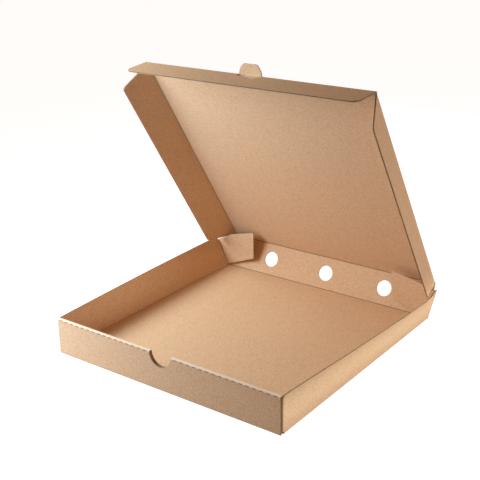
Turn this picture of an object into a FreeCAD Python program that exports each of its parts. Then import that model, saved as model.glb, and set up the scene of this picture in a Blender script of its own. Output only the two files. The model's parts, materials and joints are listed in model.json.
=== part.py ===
import FreeCAD, Part
import math
import os

# Pizza box of kraft corrugated board, open: a tray, the rear wall that carries the lid, and the flaps.
# Frame: X to the right, Y to the back, Z up, millimetres, origin at the middle of the tray's underside.

# Board
BOARD = 1.5                 # thickness of the corrugated board
FOLD_RADIUS = 2.0           # outside radius where the bottom turns up into a wall
FOLD_FOOT = 0.5             # flat length behind the front wall's bottom fold
TOP_RADIUS = 0.7            # outside radius of the two folds along the top of the front wall
FOLD_GAP = 0.45             # air between the rounded edge of a hinged crease and the panel next to it
LID_PLAY = 0.5              # air between the closed lid's flaps and the walls they slide down
LID_LIFT = 0.35             # air between the closed lid and the top of the walls

# Tray
WIDTH = 330.0
DEPTH = 350.0
WALL_HEIGHT = 46.5
LEFT_REAR_LEAN = 26.5       # degrees that the left wall leans out at its rear end
RIGHT_REAR_LEAN = 13.0      # degrees that the right wall leans out at its rear end
RIGHT_BULGE_LEAN = 20.2     # degrees that the right wall leans where it bulges out the most
RIGHT_BULGE_PLACE = 36.0    # from the right wall's rear end forward to there
RIGHT_MIDDLE_LEAN = 12.0    # degrees that the right wall leans about halfway
RIGHT_MIDDLE_PLACE = 198.0  # from the right wall's rear end forward to there
CORNER_LEG = 4.0            # upright length of a side wall behind its front corner
PLY_PLAY = 0.2              # air between the trapped flap and each ply of the front wall
TRAPPED_FLAP_LENGTH = 62.0
TRAPPED_FLAP_RISE = 2.0     # from the top of the bottom panel to the trapped flap
THUMB_NOTCH_RADIUS = 15.5
LOCK_TAB_LENGTH = 34.0
LOCK_TAB_OFFSET = 78.0      # from the middle of the box to the middle of a lock tab
LOCK_TAB_PLAY = 0.4

# Rear wall with its vents
REAR_LEAN = 24.8            # degrees that the rear wall leans back
VENT_COUNT = 3
VENT_RADIUS = 11.0
VENT_SPACING = 93.0

# Lid
LID_RAISED = 57.2           # degrees between the open lid and the floor
PULL_TAB_RADIUS = 16.0
PULL_TAB_BEND = 30.0        # degrees that the pull tab is bent up out of the lid's plane
PULL_TAB_KERF = 0.4         # cut between the pull tab and the front flap
FRONT_FLAP_WIDTH = 42.0
FRONT_FLAP_SPRING = 27.0    # degrees that the front flap stands out from square
FRONT_FLAP_CORNER = 11.0
SIDE_FLAP_WIDTH = 44.0
SIDE_FLAP_FRONT_CORNER = 6.0
SIDE_FLAP_REAR_CORNER = 4.0
LEFT_FLAP_SPRING = 28.0     # degrees that the left flap stands out from square
RIGHT_FLAP_SPRING = 17.5    # degrees that the right flap stands out from square
SIDE_FLAP_REAR_START = 5.5  # from the lid's rear crease to the flap, at its own crease
SIDE_FLAP_REAR_CUT = 21.5   # how much further forward the flap starts at its free edge
SIDE_FLAP_FRONT_END = 2.0   # from the lid's front crease to the flap, at its own crease
SIDE_FLAP_FRONT_CUT = 11.0  # how much further back the flap ends at its free edge

# Rear dust flaps, in each flap's own plane: lengths run from the corner, drops from the top of the walls
LEFT_DUST_TILT = 22.0       # degrees that the left dust flap is tilted up with its corner
RIGHT_DUST_TILT = RIGHT_REAR_LEAN
DUST_FOOT = 2.0
DUST_LOWER_LENGTH = 52.0
DUST_UPPER_LENGTH = 67.0
DUST_SHOULDER_START = 14.0
DUST_SHOULDER_END = 25.0
DUST_ROOT_DROP = 5.5
DUST_SHOULDER_DROP = 1.7
DUST_TIP_DROP = 7.2
DUST_CORNER = 4.0
DUST_SHOULDER_RADIUS = 4.0
DUST_GAP = 0.4              # air in front of and behind a dust flap

# Places that follow from the sizes
HALF_WIDTH = WIDTH / 2
HALF_DEPTH = DEPTH / 2
HALF_BOARD = BOARD / 2
ROOT = HALF_BOARD + FOLD_GAP
FRONT_WALL = 3 * BOARD + 2 * PLY_PLAY
REAR_HINGE_Y = HALF_DEPTH - HALF_BOARD
REAR_WALL_LENGTH = WALL_HEIGHT + LID_LIFT
LID_HALF_WIDTH = HALF_WIDTH - BOARD - LID_PLAY - HALF_BOARD
LID_LENGTH = REAR_HINGE_Y + HALF_DEPTH - FRONT_WALL - LID_PLAY - HALF_BOARD
DUST_Y = HALF_DEPTH - BOARD - DUST_GAP - HALF_BOARD
WALL_END_Y = DUST_Y - HALF_BOARD - DUST_GAP
CORNER_Y = -HALF_DEPTH + BOARD + PLY_PLAY

X_AXIS = FreeCAD.Vector(1, 0, 0)
Y_AXIS = FreeCAD.Vector(0, 1, 0)
Z_AXIS = FreeCAD.Vector(0, 0, 1)


def vector(x, y, z=0.0):
    return FreeCAD.Vector(x, y, z)


def turned(degrees, first, second):
    """The direction that lies the given degrees from the first one towards the second."""
    angle = math.radians(degrees)
    return first * math.cos(angle) + second * math.sin(angle)


def block(low, high):
    size = high - low
    return Part.makeBox(size.x, size.y, size.z, low)


def rod(start, end, radius):
    return Part.makeCylinder(radius, start.distanceToPoint(end), start, end - start)


def outline(corners):
    """A closed wire in the XY plane through corners (x, y, radius), each corner rounded by its radius."""
    ends = []
    for i, (x, y, radius) in enumerate(corners):
        here = vector(x, y)
        before = vector(*corners[i - 1][:2]) - here
        after = vector(*corners[(i + 1) % len(corners)][:2]) - here
        before.normalize()
        after.normalize()
        half = before.getAngle(after) / 2
        reach = radius / math.tan(half)
        bisector = before + after
        bisector.normalize()
        top = here + bisector * (radius / math.sin(half) - radius)
        ends.append((here + before * reach, top, here + after * reach))
    edges = []
    for i, (start, top, end) in enumerate(ends):
        if corners[i][2] > 0:
            edges.append(Part.Arc(start, top, end).toShape())
        edges.append(Part.LineSegment(end, ends[(i + 1) % len(ends)][0]).toShape())
    return Part.Wire(edges)


def sheet(corners):
    """A flat panel of board with the given outline, its middle plane at z = 0."""
    panel = Part.Face(outline(corners)).extrude(vector(0, 0, BOARD))
    panel.translate(vector(0, 0, -HALF_BOARD))
    return panel


def placed(shape, origin, along_x, along_y):
    """The shape with its own origin, X and Y brought to the given point and directions."""
    up = along_x.cross(along_y)
    turn = FreeCAD.Rotation(along_x, along_y, up, "XYZ")
    moved = shape.copy()
    moved.Placement = FreeCAD.Placement(origin, turn).multiply(shape.Placement)
    return moved


def mirrored(shape):
    return shape.mirror(vector(0, 0, 0), X_AXIS)


# Places and directions of the box as it stands open
REAR_UP = turned(REAR_LEAN, Z_AXIS, Y_AXIS)
REAR_FOOT = vector(0, REAR_HINGE_Y, HALF_BOARD)
LID_HINGE = REAR_FOOT + REAR_UP * REAR_WALL_LENGTH
LID_FORWARD = turned(LID_RAISED, Y_AXIS * -1, Z_AXIS)
LID_INWARD = turned(LID_RAISED, Z_AXIS * -1, Y_AXIS * -1)


def wall_section(y, lean):
    """The section of the left wall and its bottom fold at depth y."""
    centre = vector(-HALF_WIDTH + FOLD_RADIUS, y, FOLD_RADIUS)
    rise = turned(lean, Z_AXIS, X_AXIS * -1) * (WALL_HEIGHT - FOLD_RADIUS)
    outward = turned(lean, X_AXIS * -1, Z_AXIS * -1)
    middle = turned((90 + lean) / 2, Z_AXIS * -1, X_AXIS * -1)
    outer = [centre + way * FOLD_RADIUS for way in (Z_AXIS * -1, middle, outward)]
    inner = [centre + way * (FOLD_RADIUS - BOARD) for way in (outward, middle, Z_AXIS * -1)]
    return Part.Wire([
        Part.Arc(*outer).toShape(),
        Part.LineSegment(outer[2], outer[2] + rise).toShape(),
        Part.LineSegment(outer[2] + rise, inner[0] + rise).toShape(),
        Part.LineSegment(inner[0] + rise, inner[0]).toShape(),
        Part.Arc(*inner).toShape(),
        Part.LineSegment(inner[2], outer[0]).toShape(),
    ])


def side_wall(leans):
    """The left wall, upright behind its front corner, with a lean at each place forward of its rear end."""
    sections = [wall_section(CORNER_Y + CORNER_LEG, 0.0)]
    sections += [wall_section(WALL_END_Y - place, lean) for place, lean in leans]
    return Part.makeLoft(sections, True, True)


def trapped_flap():
    """The left wall's front corner and the flap that lies between the plies of the front wall."""
    left = -HALF_WIDTH
    right = left + TRAPPED_FLAP_LENGTH
    back = CORNER_Y + BOARD
    low = BOARD + TRAPPED_FLAP_RISE
    plan = outline([
        (left, CORNER_Y + CORNER_LEG, 0),
        (left, CORNER_Y, BOARD),
        (right, CORNER_Y, 0),
        (right, back, 0),
        (left + BOARD, back, 0),
        (left + BOARD, CORNER_Y + CORNER_LEG, 0),
    ])
    high = WALL_HEIGHT - BOARD - PLY_PLAY
    flap = Part.Face(plan).extrude(vector(0, 0, high - low))
    flap.translate(vector(0, 0, low))
    leg = block(vector(left, back, low), vector(left + BOARD, CORNER_Y + CORNER_LEG, WALL_HEIGHT))
    return flap.fuse(leg)


def front_wall():
    """The front wall: an outer ply, a flat strip along the top, and an inner ply down to the bottom."""
    front = -HALF_DEPTH
    back = front + FRONT_WALL
    under_strip = WALL_HEIGHT - BOARD
    foot = front + FOLD_RADIUS + FOLD_FOOT
    profile = outline([
        (foot, 0, 0),
        (front, 0, FOLD_RADIUS),
        (front, WALL_HEIGHT, TOP_RADIUS),
        (back, WALL_HEIGHT, TOP_RADIUS),
        (back, BOARD, 0),
        (back - BOARD, BOARD, 0),
        (back - BOARD, under_strip, 0),
        (front + BOARD, under_strip, 0),
        (front + BOARD, BOARD, FOLD_RADIUS - BOARD),
        (foot, BOARD, 0),
    ])
    half_length = HALF_WIDTH - BOARD
    wall = Part.Face(profile).extrude(vector(0, 0, 2 * half_length))
    wall = placed(wall, vector(-half_length, 0, 0), Y_AXIS, Z_AXIS)
    notch_start = vector(0, front - BOARD, WALL_HEIGHT)
    return wall.cut(rod(notch_start, notch_start + Y_AXIS * (FRONT_WALL + 2 * BOARD), THUMB_NOTCH_RADIUS))


def lock_tab(middle, play):
    """A lock tab of the front wall's inner ply, or its slot in the bottom where play is given."""
    back = -HALF_DEPTH + FRONT_WALL
    low = vector(middle - LOCK_TAB_LENGTH / 2 - play, back - BOARD - play, 0)
    high = vector(middle + LOCK_TAB_LENGTH / 2 + play, back + play, BOARD)
    return block(low, high)


def bottom():
    """The bottom panel between its folds, with the slots for the lock tabs."""
    side = HALF_WIDTH - FOLD_RADIUS
    panel = block(vector(-side, -HALF_DEPTH + FOLD_RADIUS, 0), vector(side, REAR_HINGE_Y - ROOT, BOARD))
    slots = [lock_tab(way * LOCK_TAB_OFFSET, LOCK_TAB_PLAY) for way in (-1, 1)]
    return panel.cut(slots[0].fuse(slots[1]))


def tray():
    """Bottom, front wall and side walls, folded from one sheet."""
    right_leans = [
        (RIGHT_MIDDLE_PLACE, RIGHT_MIDDLE_LEAN),
        (RIGHT_BULGE_PLACE, RIGHT_BULGE_LEAN),
        (0.0, RIGHT_REAR_LEAN),
    ]
    pieces = [front_wall(), side_wall([(0.0, LEFT_REAR_LEAN)]), mirrored(side_wall(right_leans))]
    pieces += [trapped_flap(), mirrored(trapped_flap())]
    pieces += [lock_tab(way * LOCK_TAB_OFFSET, 0) for way in (-1, 1)]
    return bottom().fuse(pieces).removeSplitter()


def hinged_edge(start, end):
    """The rounded edge of a panel along a hinged crease."""
    return rod(start, end, HALF_BOARD)


def rear_wall():
    """The rear wall with its round vents, from its foot crease up to the lid's crease."""
    half = LID_HALF_WIDTH + HALF_BOARD
    top = REAR_WALL_LENGTH - ROOT
    wall = sheet([(-half, 0, 0), (half, 0, 0), (half, top, 0), (-half, top, 0)])
    wall = wall.fuse(hinged_edge(vector(-half, 0), vector(half, 0)))
    for i in range(VENT_COUNT):
        centre = vector((i - (VENT_COUNT - 1) / 2) * VENT_SPACING, REAR_WALL_LENGTH / 2, -BOARD)
        wall = wall.cut(rod(centre, centre + Z_AXIS * (2 * BOARD), VENT_RADIUS))
    return placed(wall.removeSplitter(), REAR_FOOT, X_AXIS, REAR_UP)


def pull_tab():
    """The half-moon tab on the lid's front crease, bent up out of the lid's plane."""
    low = vector(0, 0, -HALF_BOARD)
    tab = rod(low, low + Z_AXIS * BOARD, PULL_TAB_RADIUS)
    front_half = block(vector(-PULL_TAB_RADIUS, 0, -BOARD), vector(PULL_TAB_RADIUS, PULL_TAB_RADIUS, BOARD))
    way = turned(PULL_TAB_BEND, Y_AXIS, Z_AXIS * -1)
    return placed(tab.common(front_half), vector(0, LID_LENGTH), X_AXIS, way)


def lid_panel():
    """The lid's panel with rounded creases on all four sides and the half-moon pull tab in front."""
    half = LID_HALF_WIDTH
    corners = [vector(-half, 0), vector(half, 0), vector(half, LID_LENGTH), vector(-half, LID_LENGTH)]
    panel = sheet([(corner.x, corner.y, 0) for corner in corners])
    edges = [hinged_edge(corners[i - 1], corners[i]) for i in range(len(corners))]
    panel = panel.fuse(edges + [pull_tab()]).removeSplitter()
    return placed(panel, LID_HINGE, X_AXIS, LID_FORWARD)


def lid_front_flap():
    """The lid's front flap with the half-moon hole that the pull tab leaves."""
    half = LID_HALF_WIDTH + HALF_BOARD
    flap = sheet([
        (-half, ROOT, 0),
        (half, ROOT, 0),
        (half, FRONT_FLAP_WIDTH, FRONT_FLAP_CORNER),
        (-half, FRONT_FLAP_WIDTH, FRONT_FLAP_CORNER),
    ])
    hole_start = vector(0, 0, -BOARD)
    flap = flap.cut(rod(hole_start, hole_start + Z_AXIS * (2 * BOARD), PULL_TAB_RADIUS + PULL_TAB_KERF))
    down = turned(FRONT_FLAP_SPRING, LID_INWARD, LID_FORWARD)
    return placed(flap, LID_HINGE + LID_FORWARD * LID_LENGTH, X_AXIS, down)


def lid_side_flap(side, spring):
    """The lid's left (-1) or right (1) flap, its ends cut back to pass the corners of the tray."""
    rear = SIDE_FLAP_REAR_START
    front = LID_LENGTH - SIDE_FLAP_FRONT_END
    flap = sheet([
        (rear, ROOT, 0),
        (front, ROOT, 0),
        (front - SIDE_FLAP_FRONT_CUT, SIDE_FLAP_WIDTH, SIDE_FLAP_FRONT_CORNER),
        (rear + SIDE_FLAP_REAR_CUT, SIDE_FLAP_WIDTH, SIDE_FLAP_REAR_CORNER),
    ])
    outward = X_AXIS * side
    down = turned(spring, LID_INWARD, outward)
    return placed(flap, LID_HINGE + outward * LID_HALF_WIDTH, LID_FORWARD, down)


def rear_dust_flap(side, tilt):
    """The flap of the left (-1) or right (1) wall in front of the rear wall, tilted with its corner."""
    root = WALL_HEIGHT - DUST_ROOT_DROP
    flap = sheet([
        (-HALF_BOARD, DUST_FOOT, 0),
        (DUST_LOWER_LENGTH, DUST_FOOT, DUST_SHOULDER_RADIUS),
        (DUST_UPPER_LENGTH, WALL_HEIGHT - DUST_TIP_DROP, DUST_CORNER),
        (DUST_SHOULDER_END, WALL_HEIGHT - DUST_SHOULDER_DROP, DUST_SHOULDER_RADIUS),
        (DUST_SHOULDER_START, root, DUST_SHOULDER_RADIUS),
        (-HALF_BOARD, root, 0),
    ])
    outward = X_AXIS * side
    corner = outward * (HALF_WIDTH - HALF_BOARD) + vector(0, DUST_Y, HALF_BOARD)
    return placed(flap, corner, turned(tilt, outward * -1, Z_AXIS), turned(tilt, Z_AXIS, outward))


def main():
    os.makedirs("parts", exist_ok=True)
    nodes = {
        "tray": tray(),
        "rear_wall": rear_wall(),
        "lid_panel": lid_panel(),
        "lid_front_flap": lid_front_flap(),
        "lid_left_flap": lid_side_flap(-1, LEFT_FLAP_SPRING),
        "lid_right_flap": lid_side_flap(1, RIGHT_FLAP_SPRING),
        "rear_left_dust_flap": rear_dust_flap(-1, LEFT_DUST_TILT),
        "rear_right_dust_flap": rear_dust_flap(1, RIGHT_DUST_TILT),
    }
    for name, shape in nodes.items():
        shape.exportStep(f"parts/{name}.step")
        print(name, "solids", len(shape.Solids), "valid", shape.isValid(), "volume", round(shape.Volume))


main()
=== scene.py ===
"""Pizza box of kraft corrugated board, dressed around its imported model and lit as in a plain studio.

Every panel is made the way the box is: a flat blank of fluted board, cut out, then folded into place.
Lengths are metres. In a blank, c runs across the flutes, l along them, and d down from the outer face.
"""

import json
import logging
import math
from dataclasses import dataclass, field
from enum import Enum
from typing import Callable, Sequence

import bmesh
import bpy
from mathutils import Matrix, Vector

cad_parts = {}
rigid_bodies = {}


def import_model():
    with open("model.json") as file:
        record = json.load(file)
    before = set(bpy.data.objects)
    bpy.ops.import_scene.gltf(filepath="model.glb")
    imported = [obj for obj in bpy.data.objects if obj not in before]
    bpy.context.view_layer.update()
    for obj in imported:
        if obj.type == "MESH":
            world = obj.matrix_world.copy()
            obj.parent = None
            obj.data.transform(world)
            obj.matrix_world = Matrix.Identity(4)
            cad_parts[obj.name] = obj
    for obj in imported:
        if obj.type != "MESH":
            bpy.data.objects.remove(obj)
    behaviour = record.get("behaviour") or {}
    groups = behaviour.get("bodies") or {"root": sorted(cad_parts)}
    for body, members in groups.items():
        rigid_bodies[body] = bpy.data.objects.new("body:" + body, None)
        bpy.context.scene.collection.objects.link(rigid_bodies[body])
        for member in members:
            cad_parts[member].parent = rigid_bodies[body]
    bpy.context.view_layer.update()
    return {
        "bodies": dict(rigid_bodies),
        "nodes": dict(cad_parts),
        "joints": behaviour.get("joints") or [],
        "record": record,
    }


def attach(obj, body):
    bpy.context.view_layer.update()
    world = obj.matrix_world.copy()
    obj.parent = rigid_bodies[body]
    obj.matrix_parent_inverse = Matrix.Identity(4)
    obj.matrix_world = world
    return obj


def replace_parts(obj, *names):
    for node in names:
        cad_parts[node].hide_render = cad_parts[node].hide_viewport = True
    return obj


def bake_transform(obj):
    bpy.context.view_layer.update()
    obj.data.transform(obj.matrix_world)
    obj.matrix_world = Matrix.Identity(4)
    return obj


LOG = logging.getLogger("pizza_box")
MM = 0.001
X_AXIS = Vector((1, 0, 0))
Y_AXIS = Vector((0, 1, 0))
Z_AXIS = Vector((0, 0, 1))
MERGE = 1e-7
PUNCH_REACH = 6 * MM
PUNCH_SIDES = 64

Fold = Callable[[float, float, float], Vector]
Depths = Callable[[float], tuple[float, float]]
# Weight of the darkening at folds, crushed fibre and painted shade together, and, below 0, of the pale
# painted highlight.
CreaseShadeAndHighlight = Callable[[float, float], float]
Place = tuple[float, float, float]
Rgb = tuple[float, float, float]
Colour = tuple[float, float, float, float] | bpy.types.NodeSocket


class Paper(Enum):
    """What a face of the board shows, as the index of its material."""

    LINER = 0
    CUT = 1
    MEDIUM = 2


def turned(degrees: float, first: Vector, second: Vector) -> Vector:
    """The direction that lies the given degrees from the first one towards the second."""
    angle = math.radians(degrees)
    return first * math.cos(angle) + second * math.sin(angle)


def steps(start: float, end: float, step: float) -> list[float]:
    """Makes evenly spaced stations.

    Args:
        start: The first station.
        end: The last one.
        step: The most that they may be apart.

    Returns:
        The stations.
    """
    count = max(1, math.ceil((end - start) / step - 1e-6))
    return [start + (end - start) * i / count for i in range(count + 1)]


def cubic(start: Vector, first: Vector, second: Vector, end: Vector, share: float) -> Vector:
    """Finds a point of a curve that two handles draw.

    Args:
        start: Where the curve starts.
        first: The handle next to the start.
        second: The handle next to the end.
        end: Where it ends.
        share: The share of the way along.

    Returns:
        The point.
    """
    rest = 1 - share
    return start * rest**3 + first * (3 * rest**2 * share) + second * (3 * rest * share**2) + end * share**3


@dataclass(frozen=True)
class Board:
    """Thin fluted board: two paper liners glued to a wavy medium."""

    caliper: float = 1.5 * MM
    liner: float = 0.24 * MM
    medium: float = 0.16 * MM
    pitch: float = 3.3 * MM
    wave_steps: int = 8
    cell: float = 14 * MM

    def wave(self, c: float) -> float:
        """Depth of the medium's middle at c."""
        swing = self.caliper / 2 - self.liner - self.medium / 2
        return self.caliper / 2 + swing * math.cos(2 * math.pi * c / self.pitch)


@dataclass
class Blank:
    """A flat piece of board that is cut out and folded.

    Args:
        board: The board it is made of.
        cross: Stations across the flutes.
        along: Stations along the flutes.
        fluted: Whether its flutes show at a cut edge.
        layers: Its sheets from the outer face inwards, and what each is made of.
        depths: For each layer, the depths of its two faces at c.
    """

    board: Board
    cross: Sequence[float]
    along: Sequence[float]
    fluted: bool = True
    layers: list[tuple[bmesh.types.BMesh, Paper]] = field(default_factory=list)
    depths: list[Depths] = field(default_factory=list)

    def __post_init__(self) -> None:
        """Lays the liners and the medium, or one plain layer where no flute shows."""
        board = self.board
        if not self.fluted:
            self._lay(self.cross, Paper.LINER, lambda c: (0.0, board.caliper))
            return
        half = board.medium / 2
        fine = steps(self.cross[0], self.cross[-1], board.pitch / board.wave_steps)
        self._lay(self.cross, Paper.LINER, lambda c: (0.0, board.liner))
        self._lay(fine, Paper.MEDIUM, lambda c: (board.wave(c) - half, board.wave(c) + half))
        self._lay(self.cross, Paper.LINER, lambda c: (board.caliper - board.liner, board.caliper))

    def _lay(self, cross: Sequence[float], paper: Paper, depths: Depths) -> None:
        """Adds one layer as a sheet without thickness.

        Args:
            cross: Its stations across the flutes.
            paper: What it is made of.
            depths: The depths that its two faces get at c.
        """
        sheet = bmesh.new()
        columns, rows = len(cross) - 1, len(self.along) - 1
        bmesh.ops.create_grid(sheet, x_segments=columns, y_segments=rows, size=1.0)
        for vert in sheet.verts:
            column = round((vert.co.x + 1) / 2 * columns)
            row = round((vert.co.y + 1) / 2 * rows)
            vert.co = (cross[column], self.along[row], 0.0)
        self.layers.append((sheet, paper))
        self.depths.append(depths)

    def trim(self, corners: Sequence[tuple[float, float, float]]) -> "Blank":
        """Cuts the blank to a convex outline.

        Args:
            corners: (c, l, radius) anticlockwise, each corner rounded by its radius.

        Returns:
            The same blank.
        """
        lines = convex_lines(corners)
        for sheet, _ in self.layers:
            for point, outward in lines:
                geometry = sheet.verts[:] + sheet.edges[:] + sheet.faces[:]
                bmesh.ops.bisect_plane(
                    sheet, geom=geometry, dist=MERGE, plane_co=point, plane_no=outward, clear_outer=True
                )
        return self

    def thicken(self) -> "Blank":
        """Gives every layer its thickness and marks which faces are cut edges.

        Returns:
            The blank itself.
        """
        for (sheet, paper), depths in zip(self.layers, self.depths):
            made = bmesh.ops.extrude_face_region(sheet, geom=sheet.faces[:])
            lower = {item for item in made["geom"] if isinstance(item, bmesh.types.BMVert)}
            for vert in sheet.verts:
                vert.co.z = depths(vert.co.x)[vert in lower]
            for face in sheet.faces:
                at_edge = len({vert in lower for vert in face.verts}) == 2
                face.material_index = (Paper.CUT if at_edge else paper).value
            bmesh.ops.recalc_face_normals(sheet, faces=sheet.faces[:])
        return self

    def cut(self, *cutters: bmesh.types.BMesh, outer_only: bool = False) -> "Blank":
        """Cuts holes through the blank, or only through its outer liner.

        Args:
            cutters: Closed solids in the blank's own flat frame, apart from each other.
            outer_only: Whether the layers below the outer liner stay whole.

        Returns:
            The same blank.
        """
        tool = bmesh.new()
        for cutter in cutters:
            absorb(tool, cutter)
        for face in tool.faces:
            face.material_index = Paper.CUT.value
        knife = scratch_object("knife", tool)
        for i, (sheet, paper) in enumerate(self.layers):
            if outer_only and i > 0:
                continue
            work = scratch_object("work", sheet)
            modifier = work.modifiers.new("Cut", "BOOLEAN")
            modifier.operation = "DIFFERENCE"
            modifier.solver = "EXACT"
            modifier.object = knife
            bpy.context.view_layer.update()
            evaluated = work.evaluated_get(bpy.context.evaluated_depsgraph_get())
            replacement = bmesh.new()
            replacement.from_mesh(bpy.data.meshes.new_from_object(evaluated))
            self.layers[i] = (replacement, paper)
            discard(work)
        discard(knife)
        return self

    def folded(self, name: str, fold: Fold, crease: CreaseShadeAndHighlight | None = None) -> bpy.types.Object:
        """Folds the blank into place and makes it an object.

        Args:
            name: The piece's name.
            fold: Takes (c, l, d) to a point of the standing box.
            crease: How strongly the board is darkened at (c, l), by crushed fibre and painted shade, from 0
                to 1, or made pale as a painted highlight, down to -1.

        Returns:
            The piece, with its flat coordinates kept as a UV map for the patterns.
        """
        whole = bmesh.new()
        for sheet, _ in self.layers:
            absorb(whole, sheet)
        flat = whole.loops.layers.uv.new("flat")
        # The weight of fold darkening with painted shade, and, below 0, of the pale painted highlight, kept
        # on the points.
        crease_and_shade = whole.verts.layers.float.new("crease")
        for face in whole.faces:
            for loop in face.loops:
                loop[flat].uv = loop.vert.co.xy
        for vert in whole.verts:
            vert[crease_and_shade] = crease(vert.co.x, vert.co.y) if crease else 0.0
            vert.co = fold(*vert.co)
        bmesh.ops.recalc_face_normals(whole, faces=whole.faces[:])
        return new_piece(name, whole)


def convex_lines(corners: Sequence[tuple[float, float, float]]) -> list[tuple[Vector, Vector]]:
    """Finds the straight cuts that leave a convex outline with rounded corners.

    Args:
        corners: (c, l, radius) anticlockwise.

    Returns:
        A point and an outward normal for each cut.
    """
    lines = []
    facets = 6
    for i, (c, l, radius) in enumerate(corners):
        here = Vector((c, l, 0))
        before = (here - Vector((*corners[i - 1][:2], 0))).normalized()
        after = (Vector((*corners[(i + 1) % len(corners)][:2], 0)) - here).normalized()
        out_before = Vector((before.y, -before.x, 0))
        out_after = Vector((after.y, -after.x, 0))
        lines.append((here, out_after))
        if radius <= 0:
            continue
        half_turn = out_before.angle(out_after) / 2
        middle = (out_before + out_after).normalized()
        centre = here - middle * (radius / math.cos(half_turn))
        for k in range(1, facets):
            way = out_before.slerp(out_after, k / facets)
            lines.append((centre + way * radius, way))
    return lines


def absorb(target: bmesh.types.BMesh, source: bmesh.types.BMesh) -> None:
    """Adds a copy of one mesh to another.

    Args:
        target: The mesh that grows.
        source: The mesh that is copied.
    """
    mesh = bpy.data.meshes.new("absorbed")
    source.to_mesh(mesh)
    target.from_mesh(mesh)
    bpy.data.meshes.remove(mesh)


def scratch_object(name: str, mesh_source: bmesh.types.BMesh) -> bpy.types.Object:
    """Makes a short-lived object for a modifier to work on.

    Args:
        name: Its name.
        mesh_source: Its mesh.

    Returns:
        The object, with a slot for each paper.
    """
    mesh = bpy.data.meshes.new(name)
    mesh_source.to_mesh(mesh)
    for _ in Paper:
        mesh.materials.append(None)
    thing = bpy.data.objects.new(name, mesh)
    bpy.context.scene.collection.objects.link(thing)
    return thing


def discard(thing: bpy.types.Object) -> None:
    """Removes a short-lived object and its mesh.

    Args:
        thing: The object.
    """
    mesh = thing.data
    bpy.data.objects.remove(thing)
    bpy.data.meshes.remove(mesh)


def new_piece(name: str, mesh_source: bmesh.types.BMesh) -> bpy.types.Object:
    """Makes a finished piece and puts it in the scene.

    Args:
        name: Its name.
        mesh_source: Its mesh.

    Returns:
        The piece, with the board's materials.
    """
    mesh = bpy.data.meshes.new(name)
    mesh_source.to_mesh(mesh)
    for material in KraftBoard.materials():
        mesh.materials.append(material)
    piece = bpy.data.objects.new(name, mesh)
    bpy.context.scene.collection.objects.link(piece)
    return piece


def round_shade(piece: bpy.types.Object, degrees: float = 28) -> bpy.types.Object:
    """Shades a piece smoothly where its faces turn gently, and sharply at its cut edges.

    Args:
        piece: The piece.
        degrees: The sharpest turn that is still smooth.

    Returns:
        The same piece.
    """
    mesh = piece.data
    mesh.shade_smooth()
    mesh.set_sharp_from_angle(angle=math.radians(degrees))
    return piece


def disc_cutter(centre: Vector, radius: float) -> bmesh.types.BMesh:
    """Makes a round punch.

    Args:
        centre: Its (c, l) middle.
        radius: Its radius.

    Returns:
        A closed solid that goes through a flat blank.
    """
    punch = bmesh.new()
    place = Matrix.Translation((centre.x, centre.y, 0))
    bmesh.ops.create_cone(
        punch,
        cap_ends=True,
        segments=PUNCH_SIDES,
        radius1=radius,
        radius2=radius,
        depth=2 * PUNCH_REACH,
        matrix=place,
    )
    return punch


def slot_cutter(start: Vector, end: Vector, radius: float) -> bmesh.types.BMesh:
    """Makes a punch with two round ends.

    Args:
        start: The (c, l) middle of one end.
        end: The (c, l) middle of the other.
        radius: The radius of both ends.

    Returns:
        A closed solid that goes through a flat blank.
    """
    punch = bmesh.new()
    for centre in (start, end):
        absorb(punch, disc_cutter(centre, radius))
    hull = bmesh.ops.convex_hull(punch, input=punch.verts[:])
    inside = hull["geom_interior"] + hull["geom_unused"]
    loose = [item for item in inside if isinstance(item, bmesh.types.BMVert)]
    bmesh.ops.delete(punch, geom=loose, context="VERTS")
    hull_faces = {item for item in hull["geom"] if isinstance(item, bmesh.types.BMFace)}
    bmesh.ops.delete(punch, geom=[face for face in punch.faces if face not in hull_faces], context="FACES")
    bmesh.ops.recalc_face_normals(punch, faces=punch.faces[:])
    return punch


def box_cutter(low: Vector, high: Vector) -> bmesh.types.BMesh:
    """Makes a straight-sided punch.

    Args:
        low: Its least (c, l).
        high: Its greatest (c, l).

    Returns:
        A closed solid that goes through a flat blank.
    """
    punch = bmesh.new()
    bmesh.ops.create_cube(punch, size=1.0)
    middle, size = (low + high) / 2, high - low
    bmesh.ops.scale(punch, vec=(size.x, size.y, 2 * PUNCH_REACH), verts=punch.verts[:])
    bmesh.ops.translate(punch, vec=(middle.x, middle.y, 0), verts=punch.verts[:])
    return punch


def outline_cutter(points: Sequence[tuple[float, float]]) -> bmesh.types.BMesh:
    """Makes a punch with any outline.

    Args:
        points: The (c, l) corners, anticlockwise.

    Returns:
        A closed solid that goes through a flat blank.
    """
    punch = bmesh.new()
    ring = [punch.verts.new((c, l, -PUNCH_REACH)) for c, l in points]
    face = punch.faces.new(ring)
    made = bmesh.ops.extrude_face_region(punch, geom=[face])
    top = [item for item in made["geom"] if isinstance(item, bmesh.types.BMVert)]
    bmesh.ops.translate(punch, vec=(0, 0, 2 * PUNCH_REACH), verts=top)
    bmesh.ops.recalc_face_normals(punch, faces=punch.faces[:])
    return punch


@dataclass(frozen=True)
class Panel:
    """Where a flat panel stands: a point of its middle plane, its two directions and its outward one."""

    origin: Vector
    cross: Vector
    along: Vector
    outward: Vector
    board: Board

    def fold(self, c: float, l: float, d: float) -> Vector:
        """The point of the standing panel at (c, l, d)."""
        return self.origin + self.cross * c + self.along * l + self.outward * (self.board.caliper / 2 - d)


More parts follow.
